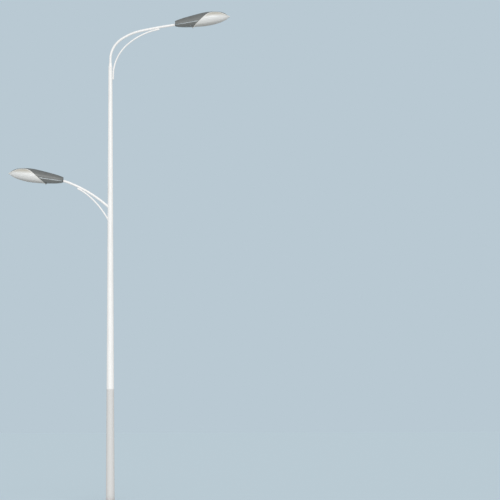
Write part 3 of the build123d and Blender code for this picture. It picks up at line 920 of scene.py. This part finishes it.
class STREETLIGHT_OT_fasten_luminaires(Operator):
    """Add the waist trims, tail seals, pan and clamp screws, and pin clips."""

    bl_idname = "streetlight.fasten_luminaires"
    bl_label = "Fasten Luminaires"

    def execute(self, context):
        sizes = context.scene.street_light_fastenings
        aluminium = anodised_highlight_moulding(context.scene.street_light_luminaires)
        steel = stainless(context)
        for side in SIDES:
            place = head_place(side)
            self.trim(side, place, aluminium)
            self.tail_seal(side, place, rubber(context))
            self.screws(side, place, steel, sizes)
            self.pin_clips(side, place, steel)
        return {"FINISHED"}

    def trim(self, side, place, material):
        """Thin moulding over the joint between the canopy and the tail pan, on both flanks. Its light colour
        is a painted highlight along the housing's waist.
        """
        find = skin_finder(f"{side}_canopy")
        mesh = bmesh.new()
        back = place.inverted()
        half, proud, sunk = 7 * MM, 2.4 * MM, 0.4 * MM
        lower_half = [(-sunk, -half), (proud * 0.7, -half * 0.85), (proud, -half * 0.35)]
        section = lower_half + [(out, -height) for out, height in reversed(lower_half)]
        first, last = WAIST_SPAN
        steps = 60
        for flank in (1, -1):
            inward = place.to_3x3() @ Vector((0, -flank, 0))
            path = []
            for i in range(steps + 1):
                along = first + (last - first) * i / steps
                outside = place @ Vector((along, flank * CLEAR_OF_HEAD, WAIST + half))
                hit = find(outside, inward)[0]
                if hit is None:
                    continue
                path.append(Vector((along, (back @ hit).y, WAIST)))
            if len(path) < steps:
                raise RuntimeError(f"the waist trim found only {len(path)} places on the {side} canopy")
            swept(path, [(flank * out, height) for out, height in section], UP, mesh=mesh)
        finish_piece(f"{side}_waist_highlight_trim", mesh, material, "root", place)

    def tail_seal(self, side, place, material):
        """Rubber ring that fills the tail's opening round the arm."""
        wide, tall, middle = TAIL_OPENING
        mesh = bmesh.new()
        around = 64
        arm = ARM_RADIUS + 0.4 * MM
        round_arm = ((0, 5), (0, -7), (3, -8), (5, -6), (7, 1))  # out from the arm, along it
        rows = [(oval(arm + out * MM, arm + out * MM, around), 0, along) for out, along in round_arm]
        rows += [(oval(wide, tall, around), middle, along) for along in (1, 5)]
        rings = [
            [mesh.verts.new((along * MM, y, z + height)) for y, z in corners]
            for corners, height, along in rows
        ]
        skin(mesh, rings, closed=True)
        finish_piece(f"{side}_tail_seal", mesh, material, "root", place, sharp=50)

    def screws(self, side, place, material, sizes):
        """Socket screws under the tail, which clamp the arm and hold the pan."""
        find = skin_finder(f"{side}_tail_pan")
        upward = place.to_3x3() @ UP
        back = place.inverted()
        mesh = bmesh.new()
        radius = sizes.screw / 2
        for along, aside in CLAMP_SCREWS + PAN_SCREWS:
            hit = find(place @ Vector((along, aside, -CLEAR_OF_HEAD)), upward)[0]
            if hit is None:
                raise RuntimeError(f"a screw of the {side} tail pan found no place")
            seat = Matrix.Translation(back @ hit) @ Matrix.Rotation(pi, 4, "X")
            turned(
                [
                    (radius * 1.35, -1 * MM),
                    (radius * 1.35, 1.2 * MM),
                    (radius, 1.4 * MM),
                    (radius, 3.6 * MM),
                    (radius * 0.75, 4.8 * MM),
                    (radius * 0.5, 4.8 * MM, "hex"),
                    (radius * 0.5, 2 * MM, "hex"),
                ],
                around=36,
                mesh=mesh,
                place=seat,
            )
        finish_piece(f"{side}_tail_screws", mesh, material, "root", place)

    def pin_clips(self, side, place, material):
        """Spring rings at the ends of the bowl's hinge pin."""
        low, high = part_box(f"{side}_hinge_pin")
        wire, width = 0.8 * MM, 0.6 * MM
        radius = (high.z - low.z) / 2 + wire
        aside = high.y - 2 * width
        mesh = bmesh.new()
        gap, steps = 0.6, 24  # half the angle left open, straight stretches
        for end in (-1, 1):
            path = []
            for i in range(steps + 1):
                angle = gap + (tau - 2 * gap) * i / steps + pi / 2
                path.append(HINGE + Vector((radius * cos(angle), end * aside, radius * sin(angle))))
            swept(path, oval(wire, width, 8), Vector((0, 1, 0)), mesh=mesh)
        finish_piece(f"{side}_pin_clips", mesh, material, "root", place, sharp=60)


class STREETLIGHT_OT_fit_latches(Operator):
    """Put the quarter-turn fastener under each nose latch, on a rubber washer."""

    bl_idname = "streetlight.fit_latches"
    bl_label = "Fit Latches"

    def execute(self, context):
        for side in SIDES:
            place = head_place(side)
            below = place @ Vector((LATCH_MIDDLE, 0, -CLEAR_OF_NOSE))
            seat, out = skin_finder(f"{side}_nose_latch")(below, place.to_3x3() @ UP)
            if seat is None:
                raise RuntimeError(f"the {side} latch fastener found no place")
            turn = out.to_track_quat("Z", "Y").to_matrix().to_4x4()
            on_latch = Matrix.Translation(seat) @ turn
            body = f"{side}_bowl_door"
            washer = turned(in_mm((8, -2), (8, 0.9), (7.4, 1.3)))
            finish_piece(f"{side}_latch_washer", washer, rubber(context), body, on_latch)
            head = in_mm((6.5, 1.2), (6.5, 2.6), (5.8, 3.6), (3.2, 4.2))
            socket = in_mm((3, 4.2, "hex"), (3, 2, "hex"))
            fastener = turned(head + socket)
            finish_piece(f"{side}_latch_fastener", fastener, stainless(context), body, on_latch)
        return {"FINISHED"}


class STREETLIGHT_OT_fit_lamps(Operator):
    """Put the arc tube and its wires inside each lamp."""

    bl_idname = "streetlight.fit_lamps"
    bl_label = "Fit Lamps"

    def execute(self, context):
        alumina = arc_tube_ceramic(context.scene.street_light_luminaires)
        steel = stainless(context)
        start, end = LAMP_SPAN
        length = end - start
        wire = oval(0.9 * MM, 0.9 * MM, 8)
        # Millimetres out from the lamp's axis, and share of the lamp's length
        tube_rows = (
            (1.5, 0.2), (2.5, 0.27), (3, 0.3), (5.5, 0.32), (6, 0.36),
            (6, 0.66), (5.5, 0.7), (3, 0.72), (2.5, 0.75), (1.5, 0.82),
        )
        lead = ((0, 0.02), (0, 0.21))
        support = ((13, 0.02), (13, 0.5), (13, 0.8), (10, 0.87), (4, 0.88), (0, 0.86), (0, 0.81))
        for side in SIDES:
            lamp_start = Matrix.Translation((start, 0, LAMP_HEIGHT))
            place = head_place(side) @ lamp_start @ Matrix.Rotation(pi / 2, 4, "Y")
            tube = turned([(radius * MM, share * length) for radius, share in tube_rows], around=32)
            finish_piece(f"{side}_arc_tube", tube, alumina, "root", place)
            wires = bmesh.new()
            for route, up in ((lead, Vector((1, 0, 0))), (support, Vector((0, 1, 0)))):
                path = [Vector((out * MM, 0, share * length)) for out, share in route]
                swept(path, wire, up, mesh=wires)
            finish_piece(f"{side}_lamp_wires", wires, steel, "root", place, sharp=60)
        return {"FINISHED"}


class STREETLIGHT_OT_set_stage(Operator):
    """Lay the floor and set the light and the camera."""

    bl_idname = "streetlight.set_stage"
    bl_label = "Set Stage"

    def execute(self, context):
        stage = context.scene.street_light_stage
        context.scene.view_settings.view_transform = "Standard"
        self.lay_floor(context, stage)
        self.light(context, stage)
        self.place_camera(context, stage)
        return {"FINISHED"}

    def lay_floor(self, context, stage):
        reach = 400  # metres from the pole to the floor's edge
        mesh = bmesh.new()
        bmesh.ops.create_grid(mesh, x_segments=4, y_segments=4, size=reach)
        data = bpy.data.meshes.new("floor")
        mesh.to_mesh(data)
        mesh.free()
        floor = bpy.data.objects.new("floor", data)
        context.scene.collection.objects.link(floor)
        matt = new_material("matt_studio_floor", Base_Color=stage.floor, Roughness=0.9)
        shader(matt).inputs["Specular IOR Level"].default_value = 0.0
        shown = node(matt, "Mix", self.seen(matt), stage.floor_bounce, stage.floor, data_type="RGBA")
        drive(matt, Base_Color=shown)
        data.materials.append(matt)

    def seen(self, surroundings):
        """1 where the camera, a reflection or clear glass looks, and 0 for light on a surface."""
        seen = node(surroundings, "LightPath", output="Is Camera Ray")
        rays = seen.node.outputs
        for other in ("Is Glossy Ray", "Is Transmission Ray"):
            seen = node(surroundings, "Math", seen, rays[other], operation="MAXIMUM")
        return seen

    def light(self, context, stage):
        world = bpy.data.worlds.new("studio_world")
        world.use_nodes = True
        context.scene.world = world
        world.node_tree.nodes.clear()
        even = node(world, "Background", Color=linear("#FFFFFF"), Strength=stage.sky)
        backdrop = node(world, "Background", Color=stage.background, Strength=1.0)
        node(world, "OutputWorld", node(world, "MixShader", self.seen(world), even, backdrop))
        for name, strength, angle, toward in (
            ("main_light", stage.main, stage.softness, Vector((0.15, -0.9, 0.42))),
            ("fill_light", stage.fill, 2 * stage.softness, Vector((-0.1, -1, 0.03))),
        ):
            lamp = bpy.data.lights.new(name, "SUN")
            lamp.energy = strength
            lamp.angle = angle
            light = bpy.data.objects.new(name, lamp)
            context.scene.collection.objects.link(light)
            light.rotation_mode = "QUATERNION"
            light.rotation_quaternion = toward.to_track_quat("Z", "Y")

    def place_camera(self, context, stage):
        """At eye level, about 50 m in front of the arms."""
        place = Vector((4.006, -50.631, 1.6))
        yaw, pitch, roll = radians(-1.319), radians(3.965), radians(-0.203)
        forward = Vector((sin(yaw) * cos(pitch), cos(yaw) * cos(pitch), sin(pitch)))
        level = forward.cross(UP).normalized()
        upright = level.cross(forward)
        right = cos(roll) * level + sin(roll) * upright
        above = -sin(roll) * level + cos(roll) * upright
        data = bpy.data.cameras.new("camera")
        data.lens = stage.lens
        data.sensor_width = 36
        data.clip_end = 1000
        camera = bpy.data.objects.new("camera", data)
        context.scene.collection.objects.link(camera)
        turn = Matrix((right, above, -forward)).transposed().to_4x4()
        camera.matrix_world = Matrix.Translation(place) @ turn
        context.scene.camera = camera


class STREETLIGHT_PT_street_light(Panel):
    """Sizes, colours and steps of the street light."""

    bl_label = "Street Light"
    bl_space_type = "VIEW_3D"
    bl_region_type = "UI"
    bl_category = "Street Light"

    def draw(self, context):
        for group in GROUPS:
            box = self.layout.box()
            settings = getattr(context.scene, group)
            for name in settings.bl_rna.properties.keys():
                if name not in ("rna_type", "name"):
                    box.prop(settings, name)
        for step in STEPS:
            self.layout.operator(step.bl_idname)


GROUPS = {
    "street_light_steelwork": StreetLightSteelwork,
    "street_light_luminaires": StreetLightLuminaires,
    "street_light_fastenings": StreetLightFastenings,
    "street_light_stage": StreetLightStage,
}
STEPS = (
    STREETLIGHT_OT_coat_steelwork,
    STREETLIGHT_OT_finish_luminaires,
    STREETLIGHT_OT_bolt_down,
    STREETLIGHT_OT_weld_joints,
    STREETLIGHT_OT_fasten_door,
    STREETLIGHT_OT_fasten_luminaires,
    STREETLIGHT_OT_fit_latches,
    STREETLIGHT_OT_fit_lamps,
    STREETLIGHT_OT_set_stage,
)


def register():
    for group, kind in GROUPS.items():
        bpy.utils.register_class(kind)
        setattr(bpy.types.Scene, group, PointerProperty(type=kind))
    for step in STEPS:
        bpy.utils.register_class(step)
    bpy.utils.register_class(STREETLIGHT_PT_street_light)


def unregister():
    bpy.utils.unregister_class(STREETLIGHT_PT_street_light)
    for step in reversed(STEPS):
        bpy.utils.unregister_class(step)
    for group, kind in GROUPS.items():
        delattr(bpy.types.Scene, group)
        bpy.utils.unregister_class(kind)


def main():
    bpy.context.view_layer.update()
    register()
    bpy.ops.streetlight.coat_steelwork()
    bpy.ops.streetlight.finish_luminaires()
    bpy.ops.streetlight.bolt_down()
    bpy.ops.streetlight.weld_joints()
    bpy.ops.streetlight.fasten_door()
    bpy.ops.streetlight.fasten_luminaires()
    bpy.ops.streetlight.fit_latches()
    bpy.ops.streetlight.fit_lamps()
    bpy.ops.streetlight.set_stage()
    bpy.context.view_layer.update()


if __name__ == "__main__":
    main()
